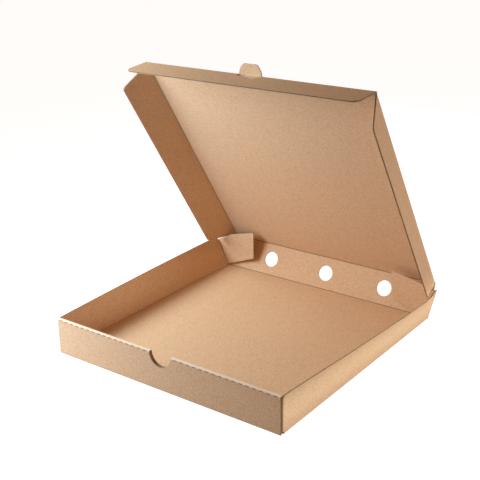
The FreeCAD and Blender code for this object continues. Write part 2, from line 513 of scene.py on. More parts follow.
@dataclass(frozen=True)
class Crease:
    """A folded strip of board between two panels that meet along an axis.

    Args:
        board: The board it is made of.
        origin: A point of the axis.
        axis: The axis's direction.
        first: From the axis into the first panel.
        second: From the axis into the second panel.
        out_first: Outward normal of the first panel.
        out_second: Outward normal of the second panel.
        reach: From the axis to where the flat panels begin.
        outer_pull: How far the outer face's curve is drawn towards the axis, as a share of the reach.
        inner_pull: The same for the inner face.
        round_steps: Faces round the fold.
    """

    board: Board
    origin: Vector
    axis: Vector
    first: Vector
    second: Vector
    out_first: Vector
    out_second: Vector
    reach: float
    outer_pull: float = 0.62
    inner_pull: float = 0.42
    round_steps: int = 12

    def strip(self, name: str, start: float, end: float, runs_along_flutes: bool = False) -> bpy.types.Object:
        """Makes the strip between two places along the axis.

        Args:
            name: The piece's name.
            start: Where it starts along the axis.
            end: Where it ends.
            runs_along_flutes: Whether the axis is parallel to the flutes.

        Returns:
            The piece.
        """
        width = 2 * self.reach
        stations = steps(start, end, self.board.cell)
        around = [i / self.round_steps * width for i in range(self.round_steps + 1)]

        def bend(around_at: float, axis_at: float, d: float) -> Vector:
            """The point of the standing strip."""
            section = self._section(around_at / width, d / self.board.caliper)
            return self.origin + self.axis * axis_at + section

        def crease_and_groove_shade(around_at: float) -> float:
            """How strongly the strip is darkened there, by crushed fibre and painted shade in the groove:
            most in the middle.
            """
            return math.sin(math.pi * around_at / width) ** 2

        if runs_along_flutes:
            blank = Blank(self.board, around, stations, fluted=False).thicken()
            piece = blank.folded(name, bend, lambda c, l: crease_and_groove_shade(c))
        else:
            blank = Blank(self.board, stations, around, fluted=False).thicken()
            piece = blank.folded(name, lambda c, l, d: bend(l, c, d), lambda c, l: crease_and_groove_shade(l))
        return round_shade(piece, 50)

    def _section(self, share: float, depth: float) -> Vector:
        """Finds a point of the fold's section.

        Args:
            share: The share of the way round.
            depth: The share of the thickness, from the outer face.

        Returns:
            The point, from the axis.
        """
        half = self.board.caliper / 2
        outer = self._curve(share, self.out_first * half, self.out_second * half, self.outer_pull)
        inner = self._curve(share, self.out_first * -half, self.out_second * -half, self.inner_pull)
        return outer.lerp(inner, depth)

    def _curve(self, share: float, off_first: Vector, off_second: Vector, pull: float) -> Vector:
        """The point at a share of the way round one face, on a curve that leaves both panels in line.

        Args:
            share: The share of the way round.
            off_first: From the first panel's middle plane to this face of it.
            off_second: The same for the second panel.
            pull: How far the curve is drawn towards the axis, as a share of the reach.

        Returns:
            The point, from the axis.
        """
        start = self.first * self.reach + off_first
        end = self.second * self.reach + off_second
        draw = self.reach * pull
        return cubic(start, start - self.first * draw, end - self.second * draw, end, share)

    def blend(self, piece: bpy.types.Object) -> None:
        """Bakes the strip's placement into its mesh; the strip does not bend with the bodies that it joins.

        Args:
            piece: The strip.
        """
        first_end = self.origin + self.first * self.reach
        second_end = self.origin + self.second * self.reach
        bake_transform(piece)


class Turn(Enum):
    """Which way a folded sheet turns, seen end on."""

    LEFT = 1
    RIGHT = -1


@dataclass(frozen=True)
class FoldPath:
    """The outer face of a sheet folded the same way several times, seen end on.

    Args:
        start: Where the outer face starts.
        heading: The direction it starts in.
        turn: Which way it folds.
        runs: Straight lengths, one before each fold and one after the last.
        radii: The outer radius of each fold.
        crush: Share of the board's thickness that a fold keeps.
    """

    start: Vector
    heading: Vector
    turn: Turn
    runs: tuple[float, ...]
    radii: tuple[float, ...]
    crush: float = 0.55

    def fold_spans(self) -> list[tuple[float, float]]:
        """Finds the folds along the outer face.

        Returns:
            Where each one starts and ends.
        """
        spans, at = [], 0.0
        for run, radius in zip(self.runs, self.radii):
            at += run
            spans.append((at, at + radius * math.pi / 2))
            at = spans[-1][1]
        return spans

    def length(self) -> float:
        """The whole length along the outer face."""
        return sum(self.runs) + sum(self.radii) * math.pi / 2

    def stations(self, cell: float) -> list[float]:
        """Makes stations along the path, close together round each fold and a little way beyond it.

        Args:
            cell: The most that they may be apart elsewhere.

        Returns:
            The stations.
        """
        beyond, fine = MM, 0.35 * MM
        found, at = [0.0], 0.0
        for start, end in self.fold_spans():
            if start - at > 1.5 * beyond:
                found += steps(at, start - beyond, cell)[1:]
            found += steps(start - beyond if start > beyond else 0, end + beyond, fine)[1:]
            at = end + beyond
        return found + steps(at, self.length(), cell)[1:]

    def point(self, l: float, d: float) -> Vector:
        """Finds a point of the folded sheet, seen end on.

        Args:
            l: How far along the outer face.
            d: How far below it.

        Returns:
            The point.
        """
        at, position, heading = 0.0, self.start.copy(), self.heading.copy()
        inward = self._inward(heading)
        for i, run in enumerate(self.runs):
            if l <= at + run or i == len(self.radii):
                return position + heading * (l - at) + inward * (d * self.keep(l))
            at += run
            position += heading * run
            radius = self.radii[i]
            arc = radius * math.pi / 2
            centre = position + inward * radius
            if l <= at + arc:
                angle = (l - at) / radius
                out = inward * -math.cos(angle) + heading * math.sin(angle)
                return centre + out * (radius - d * self.keep(l))
            at += arc
            position = centre + heading * radius
            heading, inward = inward, -heading
        return position

    def keep(self, l: float) -> float:
        """Share of its thickness that the board keeps at l: less where the crease is strong."""
        return 1 - (1 - self.crush) * self.crease_and_shade(l)

    def crease_and_shade(self, l: float) -> float:
        """Tells how strong the crease is; this sets the crush, and how strongly painted shade and highlight
        mark the fold.

        Args:
            l: How far along the outer face.

        Returns:
            A number from 0 to 1.
        """
        ease = 1.2 * MM
        strongest = 0.0
        for start, end in self.fold_spans():
            outside = max(start - l, l - end, 0.0)
            strongest = max(strongest, 1 - min(outside / ease, 1.0))
        return strongest * strongest * (3 - 2 * strongest)

    def _inward(self, heading: Vector) -> Vector:
        """The side of the heading that the sheet folds towards."""
        return Vector((-heading.y, heading.x)) * self.turn.value


@dataclass
class Number:
    """A number socket of a shader graph that Python's operators work on."""

    graph: "Graph"
    socket: bpy.types.NodeSocket

    def _with(self, operation: str, first: "Number | float", second: "Number | float") -> "Number":
        """A Math node on two values."""
        node = self.graph.node("ShaderNodeMath", {"operation": operation}, {0: first, 1: second})
        return Number(self.graph, node.outputs[0])

    def __add__(self, other: "Number | float") -> "Number":
        """Sum."""
        return self._with("ADD", self, other)

    def __radd__(self, other: float) -> "Number":
        """Reflected sum."""
        return self._with("ADD", other, self)

    def __sub__(self, other: "Number | float") -> "Number":
        """Difference."""
        return self._with("SUBTRACT", self, other)

    def __rsub__(self, other: float) -> "Number":
        """Reflected difference."""
        return self._with("SUBTRACT", other, self)

    def __mul__(self, other: "Number | float") -> "Number":
        """Product."""
        return self._with("MULTIPLY", self, other)

    def __rmul__(self, other: float) -> "Number":
        """Reflected product."""
        return self._with("MULTIPLY", other, self)

    def sine(self) -> "Number":
        """Sine."""
        return self._with("SINE", self, 0.0)

    def larger(self, other: "Number | float") -> "Number":
        """The larger of the two."""
        return self._with("MAXIMUM", self, other)

    def clear_of(self, low: float, high: float) -> "Number":
        """Turns the number into a smooth step.

        Args:
            low: It is 0 below this.
            high: It is 1 above this.

        Returns:
            The step.
        """
        node = self.graph.node(
            "ShaderNodeMapRange",
            {"interpolation_type": "SMOOTHSTEP"},
            {0: self, 1: low, 2: high, 3: 0.0, 4: 1.0},
        )
        return Number(self.graph, node.outputs[0])


class Graph:
    """The node graph of a material or a world, with one method that adds any node."""

    def __init__(self, owner: bpy.types.Material | bpy.types.World) -> None:
        """Starts an empty graph in its owner.

        Args:
            owner: The material or the world.
        """
        owner.use_nodes = True
        self.owner = owner
        self.tree = owner.node_tree
        self.tree.nodes.clear()

    def node(self, kind: str, settings: dict | None = None, inputs: dict | None = None) -> bpy.types.Node:
        """Adds a node.

        Args:
            kind: The node's type.
            settings: Its settings, set first.
            inputs: Values, sockets or numbers for its sockets, by name or place.

        Returns:
            The node.
        """
        made = self.tree.nodes.new(kind)
        for key, value in (settings or {}).items():
            setattr(made, key, value)
        for key, value in (inputs or {}).items():
            if isinstance(value, Number):
                value = value.socket
            if isinstance(value, bpy.types.NodeSocket):
                self.tree.links.new(value, made.inputs[key])
            else:
                made.inputs[key].default_value = value
        return made

    def number(self, socket: bpy.types.NodeSocket) -> Number:
        """Wraps a socket for maths."""
        return Number(self, socket)

    def mix(self, factor: Number, first: Colour, second: Colour) -> bpy.types.NodeSocket:
        """Mixes two colours.

        Args:
            factor: The share of the second one.
            first: One colour.
            second: The other.

        Returns:
            The mixed colour.
        """
        node = self.node("ShaderNodeMix", {"data_type": "RGBA"}, {0: factor, 6: first, 7: second})
        return node.outputs[2]

    def flat(self, scale: tuple[float, float], turn: float = 0.0) -> bpy.types.NodeSocket:
        """Reads the blank's flat coordinates.

        Args:
            scale: How much they are scaled by, across and along the flutes.
            turn: How far they are turned, in degrees.

        Returns:
            The coordinates.
        """
        uv = self.node("ShaderNodeUVMap", {"uv_map": "flat"})
        mapping = self.node(
            "ShaderNodeMapping",
            {"vector_type": "POINT"},
            {0: uv.outputs[0], 2: (0, 0, math.radians(turn)), 3: (scale[0], scale[1], 1)},
        )
        return mapping.outputs[0]

    def noise(self, vector: bpy.types.NodeSocket, detail: float = 2.0, rough: float = 0.55) -> Number:
        """Adds smooth noise.

        Args:
            vector: Its coordinates.
            detail: How many finer layers it has.
            rough: How strong those are.

        Returns:
            A number from 0 to 1.
        """
        node = self.node(
            "ShaderNodeTexNoise",
            {"noise_dimensions": "3D"},
            {"Vector": vector, "Scale": 1.0, "Detail": detail, "Roughness": rough},
        )
        return self.number(node.outputs[0])

    def attribute(self, name: str) -> Number:
        """A number kept on the mesh's points."""
        node = self.node("ShaderNodeAttribute", {"attribute_type": "GEOMETRY", "attribute_name": name})
        return self.number(node.outputs[2])

    def surface(self, inputs: dict) -> bpy.types.Material:
        """Ends the graph in a Principled shader.

        Args:
            inputs: Values, sockets or numbers for the shader's sockets, by name.

        Returns:
            The finished material.
        """
        shader = self.node("ShaderNodeBsdfPrincipled", inputs=inputs)
        self.node("ShaderNodeOutputMaterial", inputs={0: shader.outputs[0]})
        return self.owner


@dataclass(frozen=True)
class KraftLiner:
    """Unbleached kraft paper, a warm tan.

    Its tone is cloudy, with short fibres and specks. The flutes show through. Folds are darker, partly from
    crushed fibre and partly from painted shade in their groove; paper drawn taut over a sharp fold is paler,
    partly a painted highlight.
    """

    base: Rgb = (0.71, 0.43, 0.22)
    cloud: Rgb = (0.66, 0.385, 0.19)
    fibre: Rgb = (0.84, 0.58, 0.345)
    speck: Rgb = (0.34, 0.175, 0.08)
    # The fold colour is crushed fibre darkened further by painted shade in the groove. The pale colour is
    # taut paper over a sharp fold, made paler still as a painted highlight.
    crease_and_shade: Rgb = (0.2, 0.09, 0.035)
    taut_and_highlight: Rgb = (0.98, 0.78, 0.56)
    pitch: float = 3.3 * MM

    def material(self) -> bpy.types.Material:
        """Builds the paper's material.

        Returns:
            The material.
        """
        graph = Graph(bpy.data.materials.new("kraft_liner"))
        clouds = graph.noise(graph.flat((110, 75)), 4.0, 0.7)
        grain = graph.noise(graph.flat((430, 360)), 2.0, 0.75)
        fibres_along = graph.noise(graph.flat((1500, 190), 12), 1.0)
        fibres_across = graph.noise(graph.flat((230, 1300), -23), 1.0)
        specks = graph.noise(graph.flat((420, 330), 40), 0.0)
        crease = graph.attribute("crease")
        uv = graph.node("ShaderNodeSeparateXYZ", inputs={0: graph.flat((2 * math.pi / self.pitch, 1))})
        washboard = graph.number(uv.outputs[0]).sine()

        colour = graph.mix(clouds.clear_of(0.3, 0.75), rgba(self.base), rgba(self.cloud))
        colour = graph.mix(grain.clear_of(0.45, 0.65) * 0.4, colour, rgba(self.fibre))
        colour = graph.mix((1 - grain).clear_of(0.5, 0.7) * 0.16, colour, rgba(self.speck))
        colour = graph.mix(fibres_along.clear_of(0.62, 0.74) * 0.4, colour, rgba(self.fibre))
        colour = graph.mix(fibres_across.clear_of(0.64, 0.76) * 0.3, colour, rgba(self.speck))
        colour = graph.mix(specks.clear_of(0.7, 0.8) * 0.3, colour, rgba(self.speck))
        colour = graph.mix(washboard.clear_of(0.1, 1.0) * 0.07, colour, rgba(self.speck))
        # Painted shade: folds are darkened, partly as crushed fibre and partly as the shade in their groove.
        colour = graph.mix(crease.clear_of(0.0, 1.0) * 0.75, colour, rgba(self.crease_and_shade))
        # Painted highlight: sharp folds are made paler, partly as taut paper and partly as the light on them.
        colour = graph.mix((0 - crease).clear_of(0.0, 1.0) * 0.5, colour, rgba(self.taut_and_highlight))

        relief = washboard * 0.35 + grain * 0.5 + fibres_along * 0.3 + fibres_across * 0.25
        fine = {"Strength": 0.35, "Distance": 0.12 * MM, "Height": relief}
        bump = graph.node("ShaderNodeBump", inputs=fine)
        rough = 0.86 + grain * 0.1
        return graph.surface(
            {"Base Color": colour, "Roughness": rough, "Specular IOR Level": 0.25, "Normal": bump.outputs[0]}
        )


@dataclass(frozen=True)
class BareBoard:
    """Paper where a knife went through it, or the wavy medium between the liners."""

    name: str
    base: Rgb
    shade: Rgb
    per_metre: float = 900

    def material(self) -> bpy.types.Material:
        """Builds the material.

        Returns:
            The material.
        """
        graph = Graph(bpy.data.materials.new(self.name))
        coordinates = graph.node("ShaderNodeTexCoord")
        fine = graph.node(
            "ShaderNodeMapping",
            {"vector_type": "POINT"},
            {0: coordinates.outputs["Object"], 3: (self.per_metre, self.per_metre, self.per_metre)},
        )
        torn = graph.noise(fine.outputs[0], 2.0, 0.7)
        colour = graph.mix(torn.clear_of(0.35, 0.7), rgba(self.base), rgba(self.shade))
        bump = graph.node("ShaderNodeBump", inputs={"Strength": 0.5, "Distance": 0.2 * MM, "Height": torn})
        return graph.surface(
            {"Base Color": colour, "Roughness": 0.95, "Specular IOR Level": 0.15, "Normal": bump.outputs[0]}
        )


def rgba(colour: Rgb) -> tuple[float, float, float, float]:
    """A colour with full alpha."""
    return (*colour, 1.0)


class KraftBoard:
    """The box's one stock: its liner, its cut edge and its medium."""

    _made: list[bpy.types.Material] = []

    @classmethod
    def materials(cls) -> list[bpy.types.Material]:
        """Makes the three papers, once.

        Returns:
            The papers in the order of Paper.
        """
        if not cls._made:
            cls._made = [
                KraftLiner().material(),
                BareBoard("cut_edge", (0.55, 0.38, 0.24), (0.40, 0.25, 0.14)).material(),
                BareBoard("flute_medium", (0.42, 0.26, 0.14), (0.30, 0.17, 0.085)).material(),
            ]
        return cls._made


@dataclass(frozen=True)
class BoxFrame:
    """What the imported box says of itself: its creases, and where its panels stand."""

    frame: dict

    def crease(self, joint: str) -> Vector:
        """A point of the named crease's axis."""
        found = next(row for row in self.frame["joints"] if row["name"] == joint)
        return Vector(found["pos_m"])

    def direction(self, node: str, joint: str, axis: Vector) -> Vector:
        """The direction from a crease into a panel.

        Args:
            node: The panel's node.
            joint: The crease's joint.
            axis: The crease's direction.

        Returns:
            The direction, square to the axis.
        """
        vertices = self.frame["nodes"][node].data.vertices
        middle = sum((vertex.co for vertex in vertices), Vector()) / len(vertices) - self.crease(joint)
        return (middle - axis * middle.dot(axis)).normalized()


@dataclass(frozen=True)
class LeanProfile:
    """How far a side wall leans out along its length.

    Args:
        knots: (y, degrees) from front to rear.
    """

    knots: tuple[tuple[float, float], ...]

    def at(self, y: float) -> float:
        """Finds the lean on a smooth curve through the knots.

        Args:
            y: How far back.

        Returns:
            The lean in degrees.
        """
        last = len(self.knots) - 2
        i = next((k for k in range(last) if y < self.knots[k + 1][0]), last)
        (start, low), (end, high) = self.knots[i : i + 2]
        share = (y - start) / (end - start)
        first, second = self._slope(i) * (end - start), self._slope(i + 1) * (end - start)
        rest = 1 - share
        return (
            low * rest**2 * (1 + 2 * share)
            + high * share**2 * (3 - 2 * share)
            + first * share * rest**2
            - second * share**2 * rest
        )

    def _slope(self, i: int) -> float:
        """Degrees per metre at a knot, from the knots on both sides of it."""
        before, after = self.knots[max(i - 1, 0)], self.knots[min(i + 1, len(self.knots) - 1)]
        return (after[1] - before[1]) / (after[0] - before[0])


@dataclass
class Tray:
    """The tray: bottom, rolled-over front wall and side walls that splay out towards the rear."""

    box: BoxFrame
    board: Board
    half_width: float = 165 * MM
    half_depth: float = 175 * MM
    wall_height: float = 46.5 * MM
    fold_radius: float = 2 * MM
    fold_foot: float = 0.5 * MM
    top_radius: float = 0.95 * MM
    front_thickness: float = 4.9 * MM
    left_leans: tuple[tuple[float, float], ...] = ((-169.3 * MM, 0), (171.2 * MM, 26.5))
    right_leans: tuple[tuple[float, float], ...] = (
        (-169.3 * MM, 0), (-26.8 * MM, 12), (135.2 * MM, 20.2), (171.2 * MM, 14)
    )
    wall_start: float = -169.3 * MM
    wall_end: float = 171.2 * MM
    corner_front: float = -173.3 * MM
    trapped_length: float = 62 * MM
    trapped_low: float = 3.5 * MM
    trapped_high: float = 44.8 * MM
    trapped_taper: float = 57.24 * MM
    notch_radius: float = 15.5 * MM
    tab_offset: float = 78 * MM
    tab_length: float = 34 * MM
    tab_play: float = 0.4 * MM
    slit_pitch: float = 9 * MM
    slit_length: float = 5.0 * MM
    slit_width: float = 1.2 * MM
    slit_drop: float = 0.9 * MM
    crease_reach: float = 2 * MM

    def build(self) -> list[bpy.types.Object]:
        """Builds every piece of the tray.

        Returns:
            The pieces.
        """
        pieces = [self._bottom(), self._front_wall()]
        for piece in pieces:
            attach(piece, "tray")
        for name, side, leans in (("left", -1, self.left_leans), ("right", 1, self.right_leans)):
            wall = self._side_wall(f"{name}_wall", side, LeanProfile(leans))
            start, end = (0, self.wall_start, 0), (0, self.wall_end, 0)
            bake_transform(wall)
            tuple(start)
            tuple(end)
            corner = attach(self._front_corner(f"{name}_front_corner", side), "tray")
            pieces += [wall, corner]
        for piece in pieces:
            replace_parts(piece, "tray")
        return pieces

    def _bottom(self) -> bpy.types.Object:
        """Makes the bottom panel with the two slots for the front wall's lock tabs.

        Returns:
            The panel.
        """
        half = self.half_width - self.fold_radius
        front = -self.half_depth + self.fold_radius + self.fold_foot
        rear = self.box.crease("rear_wall_crease").y - self.crease_reach
        cell = self.board.cell
        blank = Blank(self.board, steps(-half, half, cell), steps(front, rear, cell), fluted=False)
        back = -self.half_depth + self.front_thickness
        slots = []
        for side in (-1, 1):
            reach = self.tab_length / 2 + self.tab_play
            low = Vector((side * self.tab_offset - reach, back - self.board.caliper - self.tab_play, 0))
            high = Vector((side * self.tab_offset + reach, back + self.tab_play, 0))
            slots.append(box_cutter(low, high))
        blank.thicken().cut(*slots)
        return blank.folded("tray_bottom", lambda c, l, d: Vector((c, l, d)))

    def _front_wall(self) -> bpy.types.Object:
        """Makes the front wall, folded over at the top, with its notch, its slits and its lock tabs.

        Returns:
            The wall.
        """
        path = FoldPath(
            start=Vector((-self.half_depth + self.fold_radius + self.fold_foot, 0)),
            heading=Vector((-1, 0)),
            turn=Turn.RIGHT,
            runs=(
                self.fold_foot,
                self.wall_height - self.fold_radius - self.top_radius,
                self.front_thickness - 2 * self.top_radius,
                self.wall_height - self.top_radius,
            ),
            radii=(self.fold_radius, self.top_radius, self.top_radius),
        )
        half = self.half_width - self.board.caliper
        blank = Blank(self.board, steps(-half, half, self.board.cell), path.stations(self.board.cell))
        blank.thicken()
        outer_top, inner_top = path.fold_spans()[1:]
        notch = slot_cutter(Vector((0, outer_top[0])), Vector((0, inner_top[1])), self.notch_radius)
        blank.cut(notch, *self._below_inner_ply(half, path.length()))
        folds = [sum(outer_top) / 2 - self.slit_drop, sum(inner_top) / 2 + self.slit_drop]
        blank.cut(*self._slits(half, folds), outer_only=True)

        def fold(c: float, l: float, d: float) -> Vector:
            """The point of the standing wall."""
            flat = path.point(l, d)
            return Vector((c, flat.x, flat.y))

        def crease_shade_and_highlight(c: float, l: float) -> float:
            """Darkens the foot faintly, crushed fibre and painted shade, and paints the top pale where the
            slits are: taut paper and a painted highlight.

            Args:
                c: Across the blank.
                l: Along the blank.

            Returns:
                The weight, above 0 for darkening by crushed fibre and painted shade, below 0 for the pale
                painted highlight.
            """
            if l < outer_top[0]:
                return 0.2 * path.crease_and_shade(l)
            return -1.0 if l < inner_top[1] else -path.crease_and_shade(l)

        piece = blank.folded("front_wall", fold, crease_shade_and_highlight)
        return round_shade(piece)

    def _below_inner_ply(self, half: float, length: float) -> list[bmesh.types.BMesh]:
        """Makes the punches for the inner ply's lower edge, between and beside its lock tabs.

        Args:
            half: Half the wall's width.
            length: The whole length of the wall's blank.

        Returns:
            The punches.
        """
        foot = length - self.board.caliper
        inner, outer = self.tab_offset - self.tab_length / 2, self.tab_offset + self.tab_length / 2
        gaps = ((-half - MM, -outer), (-inner, inner), (outer, half + MM))
        return [box_cutter(Vector((low, foot, 0)), Vector((high, length + MM, 0))) for low, high in gaps]

    def _slits(self, half: float, folds: list[float]) -> list[bmesh.types.BMesh]:
        """Makes the punches for the rows of slits that weaken the front wall's two top folds.

        Args:
            half: Half the wall's width.
            folds: Where each row lies along the blank.

        Returns:
            The punches.
        """
        count = int(2 * (half - self.slit_length) / self.slit_pitch)
        slits = []
        for fold_at in folds:
            for i in range(count + 1):
                middle = (i - count / 2) * self.slit_pitch
                if abs(middle) < self.notch_radius + self.slit_length:
                    continue
                low = Vector((middle - self.slit_length / 2, fold_at - self.slit_width / 2, 0))
                high = Vector((middle + self.slit_length / 2, fold_at + self.slit_width / 2, 0))
                slits.append(box_cutter(low, high))
        return slits

    def _side_wall(self, name: str, side: int, leans: LeanProfile) -> bpy.types.Object:
        """Makes a side wall with its bottom fold, upright in front and leaning out at the rear.

        Args:
            name: The piece's name.
            side: -1 on the left, 1 on the right.
            leans: How far it leans out.

        Returns:
            The piece.
        """
        quarter = self.fold_radius * math.pi / 2
        height = quarter + self.wall_height - self.fold_radius
        folded_end, fine = quarter + MM, 0.4 * MM
        cross = steps(0, folded_end, fine) + steps(folded_end, height, self.board.cell)[1:]
        blank = Blank(self.board, cross, steps(self.wall_start, self.wall_end, self.board.cell)).thicken()
        outward = X_AXIS * side

        def fold(s: float, y: float, d: float) -> Vector:
            """Finds a point of the standing wall.

            Args:
                s: How far up the wall it is.
                y: Its place from front to rear.
                d: Its depth in the board.

            Returns:
                The point.
            """
            lean = leans.at(y)
            centre = Vector((side * (self.half_width - self.fold_radius), y, self.fold_radius))
            way = turned(min(s / quarter, 1.0) * (90 + lean), -Z_AXIS, outward)
            rise = turned(lean, Z_AXIS, outward) * max(s - quarter, 0.0)
            return centre + way * (self.fold_radius - d) + rise

        # The bottom fold is darkened by crushed fibre and by painted shade in its bend.
        piece = blank.folded(name, fold, lambda s, y: 0.8 * math.sin(math.pi * min(s / quarter, 1.0)) ** 2)
        return round_shade(piece)

    def _front_corner(self, name: str, side: int) -> bpy.types.Object:
        """Makes a side wall's front corner and the flap trapped between the front wall's two plies.

        The flap narrows to a point at its foot.

        Args:
            name: The piece's name.
            side: -1 on the left, 1 on the right.

        Returns:
            The piece.
        """
        radius = self.board.caliper
        path = FoldPath(
            start=Vector((-self.half_width, self.wall_start)),
            heading=Vector((0, -1)),
            turn=Turn.LEFT,
            runs=(self.wall_start - self.corner_front - radius, self.trapped_length - radius),
            radii=(radius,),
        )
        corner_end = path.fold_spans()[0][1]
        cell = self.board.cell
        blank = Blank(self.board, steps(self.trapped_low, self.wall_height, cell), path.stations(cell))
        blank.trim([
            (self.trapped_low, 0, 0),
            (self.trapped_high, 0, 0),
            (self.trapped_high, corner_end, 0),
            (self.trapped_low, corner_end + self.trapped_taper, 0),
        ])
        blank.thicken()

        def fold(c: float, l: float, d: float) -> Vector:
            """The point of the standing corner."""
            flat = path.point(l, d)
            return Vector((-side * flat.x, flat.y, c))

        # The corner fold is darkened by crushed fibre and by painted shade in its bend.
        return round_shade(blank.folded(name, fold, lambda c, l: path.crease_and_shade(l)))


@dataclass
class RearCorner:
    """A side wall's rear corner: the fold round the corner and the dust flap in front of the rear wall.

    Args:
        box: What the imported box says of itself.
        tray: The tray that it belongs to.
        name: Which of the two it is.
        side: -1 on the left, 1 on the right.
        splay: How far the side wall's end leans out, in degrees.
        tilt: How far the flap is tilted up, in degrees.
    """

    box: BoxFrame
    tray: Tray
    name: str
    side: int
    splay: float
    tilt: float
    fold_radius: float = 1.9 * MM
    fold_foot: float = 0.4 * MM
    foot: float = 2 * MM
    lower_length: float = 52 * MM
    upper_length: float = 67 * MM
    root_height: float = 42.6 * MM
    shoulder_start: float = 14 * MM
    shoulder_end: float = 25 * MM
    shoulder_height: float = 44.8 * MM
    tip_height: float = 39.3 * MM
    corner_radius: float = 1.5 * MM
    foot_radius: float = 4 * MM
    step_ease: float = 1.2 * MM
    turn_steps: int = 8
    pull: float = 0.55

    def build(self) -> list[bpy.types.Object]:
        """Builds the dust flap and its corner fold.

        Returns:
            The flap and the fold.
        """
        body = f"rear_{self.name}_corner"
        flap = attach(self._flap(f"rear_{self.name}_dust_flap_board"), body)
        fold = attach(self._corner_fold(f"rear_{self.name}_corner_fold"), body)
        for piece in (flap, fold):
            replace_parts(piece, f"rear_{self.name}_dust_flap")
        return [flap, fold]

    def _panel(self) -> Panel:
        """Finds where the dust flap stands.

        Returns:
            Its panel, with l along it from the corner and c up from its foot.
        """
        inward = X_AXIS * -self.side
        return Panel(
            origin=self.box.crease(f"rear_{self.name}_corner_crease"),
            cross=turned(self.tilt, Z_AXIS, -inward),
            along=turned(self.tilt, inward, Z_AXIS),
            outward=Y_AXIS,
            board=self.tray.board,
        )

    def _start(self) -> float:
        """Where the flat flap begins, past the corner fold."""
        return self.fold_radius - self.tray.board.caliper / 2

    def _flap(self, name: str) -> bpy.types.Object:
        """Makes the dust flap with its stepped shoulder.

        Args:
            name: The piece's name.

        Returns:
            The flap.
        """
        board = self.tray.board
        start, top = self._start(), self.shoulder_height + 6 * MM
        blank = Blank(board, steps(self.foot, top, board.cell), steps(start, self.upper_length, board.cell))
        rise = (self.shoulder_height - self.tip_height) / (self.upper_length - self.shoulder_end)
        top_at_start = self.shoulder_height + rise * (self.shoulder_end - start)
        blank.trim([
            (self.foot, start, 0),
            (top_at_start, start, 0),
            (self.tip_height, self.upper_length, self.corner_radius),
            (self.foot, self.lower_length, self.foot_radius),
        ])
        blank.thicken()
        ease = self.step_ease
        blank.cut(outline_cutter([
            (self.root_height, start - MM),
            (top + MM, start - MM),
            (top + MM, self.shoulder_end + MM),
            (self.shoulder_height + MM, self.shoulder_end + MM),
            (self.shoulder_height - 0.2 * MM, self.shoulder_end - ease),
            (self.root_height + 0.3 * MM, self.shoulder_start + ease),
            (self.root_height, self.shoulder_start - MM),
        ]))
        return blank.folded(name, self._panel().fold)

    def _corner_fold(self, name: str) -> bpy.types.Object:
        """Makes the round fold between the side wall's rear end and the dust flap.

        Args:
            name: The piece's name.

        Returns:
            The fold.
        """
        board, panel, tray = self.tray.board, self._panel(), self.tray
        width = self.fold_radius * math.pi / 2
        around = [width * i / self.turn_steps for i in range(self.turn_steps + 1)]
        upward = steps(self.fold_foot, self.root_height, board.cell)
        blank = Blank(board, upward, around, fluted=False).thicken()
        outward = X_AXIS * self.side
        wall_out = turned(self.splay, outward, -Z_AXIS)
        wall_up = turned(self.splay, Z_AXIS, outward)
        centre = Vector((self.side * (tray.half_width - tray.fold_radius), tray.wall_end, tray.fold_radius))

        def bend(c: float, l: float, d: float) -> Vector:
            """Finds a point of the standing fold, on a curve from the wall's end to the flap.

            Args:
                c: How far up the fold it is.
                l: How far round the fold it is.
                d: Its depth in the board.

            Returns:
                The point.
            """
            start = centre + wall_out * (tray.fold_radius - d) + wall_up * (c - tray.fold_radius)
            end = panel.fold(c, self._start(), d)
            reach = (end - start).length * self.pull
            first, second = start + Y_AXIS * min(reach, end.y - start.y), end - panel.along * reach
            return cubic(start, first, second, end, l / width)

        # The fold is darkened by crushed fibre and by painted shade in its bend.
        piece = blank.folded(name, bend, lambda c, l: math.sin(math.pi * l / width) ** 2)
        return round_shade(piece)


@dataclass
class RearWall:
    """The rear wall with its round vents, and the creases at its foot and under the lid."""

    box: BoxFrame
    board: Board
    half_width: float = 163 * MM
    foot_overlap: float = 1.3 * MM
    reach: float = 2 * MM
    vent_radius: float = 11 * MM
    vent_spacing: float = 93 * MM
    vent_height: float = 23.5 * MM
    vent_count: int = 3

    def build(self) -> list[bpy.types.Object]:
        """Builds the wall and the two creases.

        Returns:
            The wall, the crease at its foot and the lid's crease.
        """
        foot, top = self.box.crease("rear_wall_crease"), self.box.crease("lid_crease")
        up = (top - foot).normalized()
        out = up.cross(X_AXIS)
        height = (top - foot).length
        blank = Blank(
            self.board,
            steps(-self.half_width, self.half_width, self.board.cell),
            steps(self.reach, height - self.reach, self.board.cell),
        ).thicken()
        offsets = [(i - (self.vent_count - 1) / 2) * self.vent_spacing for i in range(self.vent_count)]
        blank.cut(*[disc_cutter(Vector((offset, self.vent_height)), self.vent_radius) for offset in offsets])
        wall = blank.folded("rear_wall_board", Panel(foot, X_AXIS, up, out, self.board).fold)
        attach(wall, "rear_panel")
        foot_crease = Crease(self.board, foot, X_AXIS, -Y_AXIS, up, -Z_AXIS, out, self.reach)
        foot_reach = self.half_width + self.foot_overlap
        foot_fold = foot_crease.strip("rear_foot_crease", -foot_reach, foot_reach)
        foot_crease.blend(foot_fold)
        forward = self.box.direction("lid_panel", "lid_crease", X_AXIS)
        lid_out = forward.cross(X_AXIS)
        lid_crease = Crease(self.board, top, X_AXIS, -up, forward, out, lid_out, self.reach)
        lid_fold = lid_crease.strip("lid_hinge_crease", -self.half_width, self.half_width)
        lid_crease.blend(lid_fold)
        for piece in (wall, foot_fold, lid_fold):
            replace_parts(piece, "rear_wall")
        return [wall, foot_fold, lid_fold]


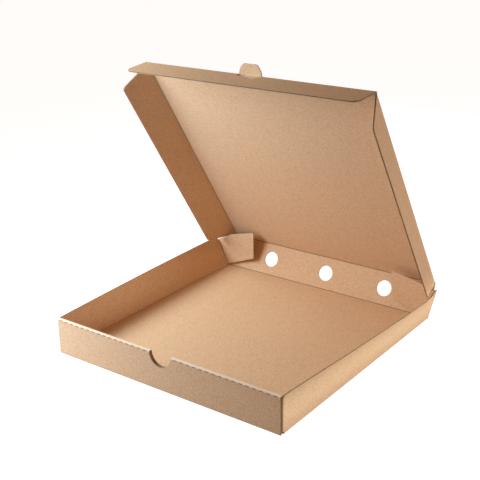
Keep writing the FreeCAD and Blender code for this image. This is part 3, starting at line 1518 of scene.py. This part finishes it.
@dataclass
class Lid:
    """The lid: its panel with the pull tab, its front flap and its two side flaps."""

    box: BoxFrame
    board: Board
    reach: float = 2 * MM
    tab_radius: float = 16 * MM
    tab_reach: float = 13.5 * MM
    tab_place: float = -2.5 * MM
    tab_bend: float = 30.0
    tab_kerf: float = 0.4 * MM
    tab_cell: float = 0.5 * MM
    front_width: float = 42 * MM
    front_corner: float = 11 * MM
    side_width: float = 44 * MM
    side_front_corner: float = 6 * MM
    side_rear_corner: float = 4 * MM
    side_rear_start: float = 3 * MM
    side_rear_cut: float = 24 * MM
    side_front_end: float = 2 * MM
    side_front_cut: float = 11 * MM

    def __post_init__(self) -> None:
        """Reads where the lid stands."""
        self.hinge = self.box.crease("lid_crease")
        front = self.box.crease("lid_front_flap_crease")
        self.forward = (front - self.hinge).normalized()
        self.length = (front - self.hinge).length
        self.half_width = abs(self.box.crease("lid_left_flap_crease").x)
        self.outward = self.forward.cross(X_AXIS)
        self.half_flap = self.half_width + self.board.caliper / 2

    def build(self) -> list[bpy.types.Object]:
        """Builds the panel, the flaps and their creases.

        Returns:
            The pieces.
        """
        pieces = self._panel()
        pieces += self._front_flap()
        for name, side in (("left", -1), ("right", 1)):
            pieces += self._side_flap(name, side)
        return pieces

    def _panel(self) -> list[bpy.types.Object]:
        """Makes the lid's panel, and the pull tab that carries on from it past the front crease.

        Returns:
            The panel and the pull tab.
        """
        half = self.half_width - self.reach
        standing = Panel(self.hinge, X_AXIS, self.forward, self.outward, self.board)
        cell = self.board.cell
        blank = Blank(self.board, steps(-half, half, cell), steps(self.reach, self.length - self.reach, cell))
        panel = blank.thicken().folded("lid_panel_board", standing.fold)
        start, radius, middle = self.length - self.reach, self.tab_radius, self.tab_place
        low, high, half_round = middle - radius, middle + radius, radius - 0.01 * MM
        outwards = steps(start, self.length + self.tab_reach, self.tab_cell)
        tab = Blank(self.board, steps(low, high, cell), outwards)
        tab.trim([
            (low, start, 0),
            (high, start, 0),
            (high, self.length + radius, half_round),
            (low, self.length + radius, half_round),
        ])
        front = self.box.crease("lid_front_flap_crease")
        bent_along = turned(self.tab_bend, self.forward, self.outward)
        bent_outward = turned(self.tab_bend, self.outward, -self.forward)
        bent = Panel(front, X_AXIS, bent_along, bent_outward, self.board)

        def fold(c: float, l: float, d: float) -> Vector:
            """The point of the standing tab, which turns smoothly from the panel's plane into its own."""
            share = min(max((l - start) / (2 * self.reach), 0.0), 1.0)
            return standing.fold(c, l, d).lerp(bent.fold(c, l - self.length, d), share**2 * (3 - 2 * share))

        pull_tab = tab.thicken().folded("pull_tab", fold)
        for piece in (panel, pull_tab):
            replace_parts(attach(piece, "lid"), "lid_panel")
        return [panel, pull_tab]

    def _flap_panel(self, name: str, axis: Vector, into_lid: Vector) -> tuple[Vector, Vector, Vector]:
        """Finds where a flap stands.

        Args:
            name: Which flap it is.
            axis: The direction of its crease.
            into_lid: From the crease into the lid's panel.

        Returns:
            A point of the crease, the direction away from it and the flap's outward normal.
        """
        joint = f"lid_{name}_flap_crease"
        away = self.box.direction(f"lid_{name}_flap", joint, axis)
        outward = (-into_lid - away * -into_lid.dot(away)).normalized()
        return self.box.crease(joint), away, outward

    def _front_flap(self) -> list[bpy.types.Object]:
        """Makes the front flap with its half-moon hole, and its crease on both sides of the pull tab.

        Returns:
            The flap and the two lengths of crease.
        """
        origin, away, outward = self._flap_panel("front", X_AXIS, -self.forward)
        half, width = self.half_flap, self.front_width
        cell = self.board.cell
        blank = Blank(self.board, steps(-half, half, cell), steps(self.reach, width, cell))
        blank.trim([
            (-half, self.reach, 0),
            (half, self.reach, 0),
            (half, width, self.front_corner),
            (-half, width, self.front_corner),
        ])
        hole, middle = self.tab_radius + self.tab_kerf, self.tab_place
        blank.thicken().cut(disc_cutter(Vector((middle, 0)), hole))
        flap = blank.folded("lid_front_flap_board", Panel(origin, X_AXIS, away, outward, self.board).fold)
        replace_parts(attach(flap, "front_flap"), "lid_front_flap")
        crease = Crease(self.board, origin, X_AXIS, -self.forward, away, self.outward, outward, self.reach)
        pieces = [flap]
        for name, start, end in (("left", -half, middle - hole), ("right", middle + hole, half)):
            strip = crease.strip(f"front_flap_crease_{name}", start, end)
            crease.blend(strip)
            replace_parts(strip, "lid_front_flap")
            pieces.append(strip)
        return pieces

    def _side_flap(self, name: str, side: int) -> list[bpy.types.Object]:
        """Makes a side flap with its ends cut back, and its crease.

        Args:
            name: Which flap it is.
            side: -1 on the left, 1 on the right.

        Returns:
            The flap and the crease.
        """
        origin, away, outward = self._flap_panel(name, self.forward, X_AXIS * -side)
        start, end = self.side_rear_start, self.length - self.side_front_end
        cell = self.board.cell
        blank = Blank(self.board, steps(self.reach, self.side_width, cell), steps(start, end, cell))
        blank.trim([
            (self.reach, start, 0),
            (self.side_width, start + self.side_rear_cut, self.side_rear_corner),
            (self.side_width, end - self.side_front_cut, self.side_front_corner),
            (self.reach, end, 0),
        ])
        standing = Panel(origin, away, self.forward, outward, self.board)
        flap = blank.thicken().folded(f"lid_{name}_flap_board", standing.fold)
        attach(flap, f"{name}_flap")
        into_lid = X_AXIS * -side
        crease = Crease(self.board, origin, self.forward, into_lid, away, self.outward, outward, self.reach)
        rear, front = self.reach, self.length - self.reach
        strip = crease.strip(f"{name}_flap_crease", rear, front, runs_along_flutes=True)
        crease.blend(strip)
        for piece in (flap, strip):
            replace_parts(piece, f"lid_{name}_flap")
        return [flap, strip]


@dataclass(frozen=True)
class SoftLight:
    """A soft studio light.

    Args:
        name: Its name.
        place: Where it stands.
        aim: The point that it faces.
        width: Its width.
        height: Its height.
        power: Its power in watts.
        colour: Its colour.
        spread: How wide its beam is, in degrees.
    """

    name: str
    place: Place
    aim: Place
    width: float
    height: float
    power: float
    colour: Rgb
    spread: float = 180.0

    def build(self) -> bpy.types.Object:
        """Puts the light in the scene.

        Returns:
            The lamp.
        """
        data = bpy.data.lights.new(self.name, "AREA")
        data.shape = "RECTANGLE"
        data.size, data.size_y = self.width, self.height
        data.energy = self.power
        data.color = self.colour
        data.spread = math.radians(self.spread)
        lamp = bpy.data.objects.new(self.name, data)
        lamp.location = self.place
        lamp.rotation_euler = (Vector(self.aim) - Vector(self.place)).to_track_quat("-Z", "Y").to_euler()
        lamp.visible_camera = False
        bpy.context.scene.collection.objects.link(lamp)
        return lamp


@dataclass
class Studio:
    """A pale floor, soft lights, and the camera at the photograph's viewing angle."""

    azimuth: float = 36.402
    elevation: float = 20.689
    roll: float = -0.651
    place: Place = (0.63738, -0.88428, 0.54161)
    lens: float = 70.93
    sensor: float = 36.0
    low_beam: float = 44.0
    floor_size: float = 12.0
    floor_drop: float = 0.2 * MM
    floor_colour: Rgb = (0.5, 0.45, 0.41)
    floor_glow: float = 0.92
    ambient_colour: Rgb = (1.0, 0.56, 0.33)
    ambient_strength: float = 0.2
    white: Rgb = (1.0, 1.0, 1.0)

    def build(self) -> None:
        """Builds the whole studio."""
        bpy.context.scene.view_settings.view_transform = "Standard"
        self._camera()
        self._floor()
        self._world()
        for light in self._lights():
            light.build()

    def _camera(self) -> None:
        """The camera, turned by its azimuth, elevation and roll."""
        right = turned(self.azimuth, X_AXIS, Y_AXIS)
        back = turned(self.elevation, turned(self.azimuth, -Y_AXIS, X_AXIS), Z_AXIS)
        up = back.cross(right)
        across = turned(self.roll, right, up)
        over = turned(self.roll, up, -right)
        data = bpy.data.cameras.new("camera")
        data.lens, data.sensor_width, data.sensor_fit = self.lens, self.sensor, "HORIZONTAL"
        camera = bpy.data.objects.new("camera", data)
        turn = Matrix((across, over, back)).transposed().to_4x4()
        camera.matrix_world = Matrix.Translation(Vector(self.place)) @ turn
        bpy.context.scene.collection.objects.link(camera)
        bpy.context.scene.camera = camera

    def _lights(self) -> list[SoftLight]:
        """Sets out lights on the left, low in front, near the lid's inside, on the right and behind.

        Returns:
            The lights.
        """
        beam = self.low_beam
        return [
            SoftLight("key", (-0.44, -0.41, 0.46), (-0.06, 0, 0.14), 0.3, 0.3, 2.9, (0.9, 1.0, 1.2)),
            SoftLight("left", (-0.54, -0.12, 0.45), (0, 0.05, 0.15), 0.3, 0.3, 2.5, (0.72, 1.0, 1.15)),
            SoftLight("low", (-0.33, -0.42, 0.05), (-0.12, -0.175, 0.03), 0.2, 0.07, 0.62, (0.75, 1.03, 1.5)),
            SoftLight("lid", (-0.32, -0.28, 0.3), (-0.1, 0.1, 0.28), 0.2, 0.2, 0.88, (0.7, 1.05, 1.5)),
            SoftLight("right", (0.27, 0, 0.024), (0.17, 0, 0.022), 0.6, 0.04, 0.064, (0.82, 1.0, 1.16), beam),
            SoftLight("far_right", (0.9, 0.3, 0.12), (0, 0, 0.06), 0.4, 0.1, 3.0, (0.92, 1.0, 1.15)),
            SoftLight("behind", (0.1, 1.2, 0.34), (0, 0.1, 0.15), 0.9, 0.5, 2.4, (1.0, 0.95, 0.9)),
        ]

    def _floor(self) -> None:
        """A pale floor that shows white where it is lit and keeps the box's shadow."""
        mesh_source = bmesh.new()
        bmesh.ops.create_grid(mesh_source, x_segments=1, y_segments=1, size=self.floor_size / 2)
        bmesh.ops.translate(mesh_source, vec=(0, 0, -self.floor_drop), verts=mesh_source.verts[:])
        mesh = bpy.data.meshes.new("floor")
        mesh_source.to_mesh(mesh)
        graph = Graph(bpy.data.materials.new("pale_floor"))
        path = graph.node("ShaderNodeLightPath")
        strength = graph.number(path.outputs["Is Camera Ray"]) * self.floor_glow
        lit = graph.node("ShaderNodeBsdfDiffuse", inputs={"Color": rgba(self.floor_colour)})
        glow = graph.node("ShaderNodeEmission", inputs={"Color": rgba(self.white), "Strength": strength})
        both = graph.node("ShaderNodeAddShader", inputs={0: lit.outputs[0], 1: glow.outputs[0]})
        graph.node("ShaderNodeOutputMaterial", inputs={0: both.outputs[0]})
        mesh.materials.append(graph.owner)
        floor = bpy.data.objects.new("floor", mesh)
        bpy.context.scene.collection.objects.link(floor)

    def _world(self) -> None:
        """An even surround that lights softly and shows white behind the box."""
        graph = Graph(bpy.data.worlds.new("surround"))
        path = graph.node("ShaderNodeLightPath")
        seen, mirrored = (graph.number(path.outputs[ray]) for ray in ("Is Camera Ray", "Is Glossy Ray"))
        soft = {"Color": rgba(self.ambient_colour), "Strength": self.ambient_strength}
        ambient = graph.node("ShaderNodeBackground", inputs=soft)
        backdrop = graph.node("ShaderNodeBackground", inputs={"Color": rgba(self.white), "Strength": 1.0})
        ends = {0: seen.larger(mirrored), 1: ambient.outputs[0], 2: backdrop.outputs[0]}
        mix = graph.node("ShaderNodeMixShader", inputs=ends)
        graph.node("ShaderNodeOutputWorld", inputs={0: mix.outputs[0]})
        bpy.context.scene.world = graph.owner


def main() -> None:
    """Builds the box around the frame, then the studio."""
    logging.basicConfig(level=logging.INFO, format="%(name)s: %(message)s")
    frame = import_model()
    box, board = BoxFrame(frame), Board()
    tray = Tray(box, board)
    parts = [
        tray,
        RearCorner(box, tray, "left", -1, splay=tray.left_leans[-1][1], tilt=22.0),
        RearCorner(
            box,
            tray,
            "right",
            1,
            splay=tray.right_leans[-1][1],
            tilt=13.0,
            shoulder_height=43.4 * MM,
            tip_height=42 * MM,
        ),
        RearWall(box, board),
        Lid(box, board),
    ]
    for part in parts:
        for piece in part.build():
            LOG.info("%s: %d faces", piece.name, len(piece.data.polygons))
    Studio().build()


if __name__ == "__main__":
    main()
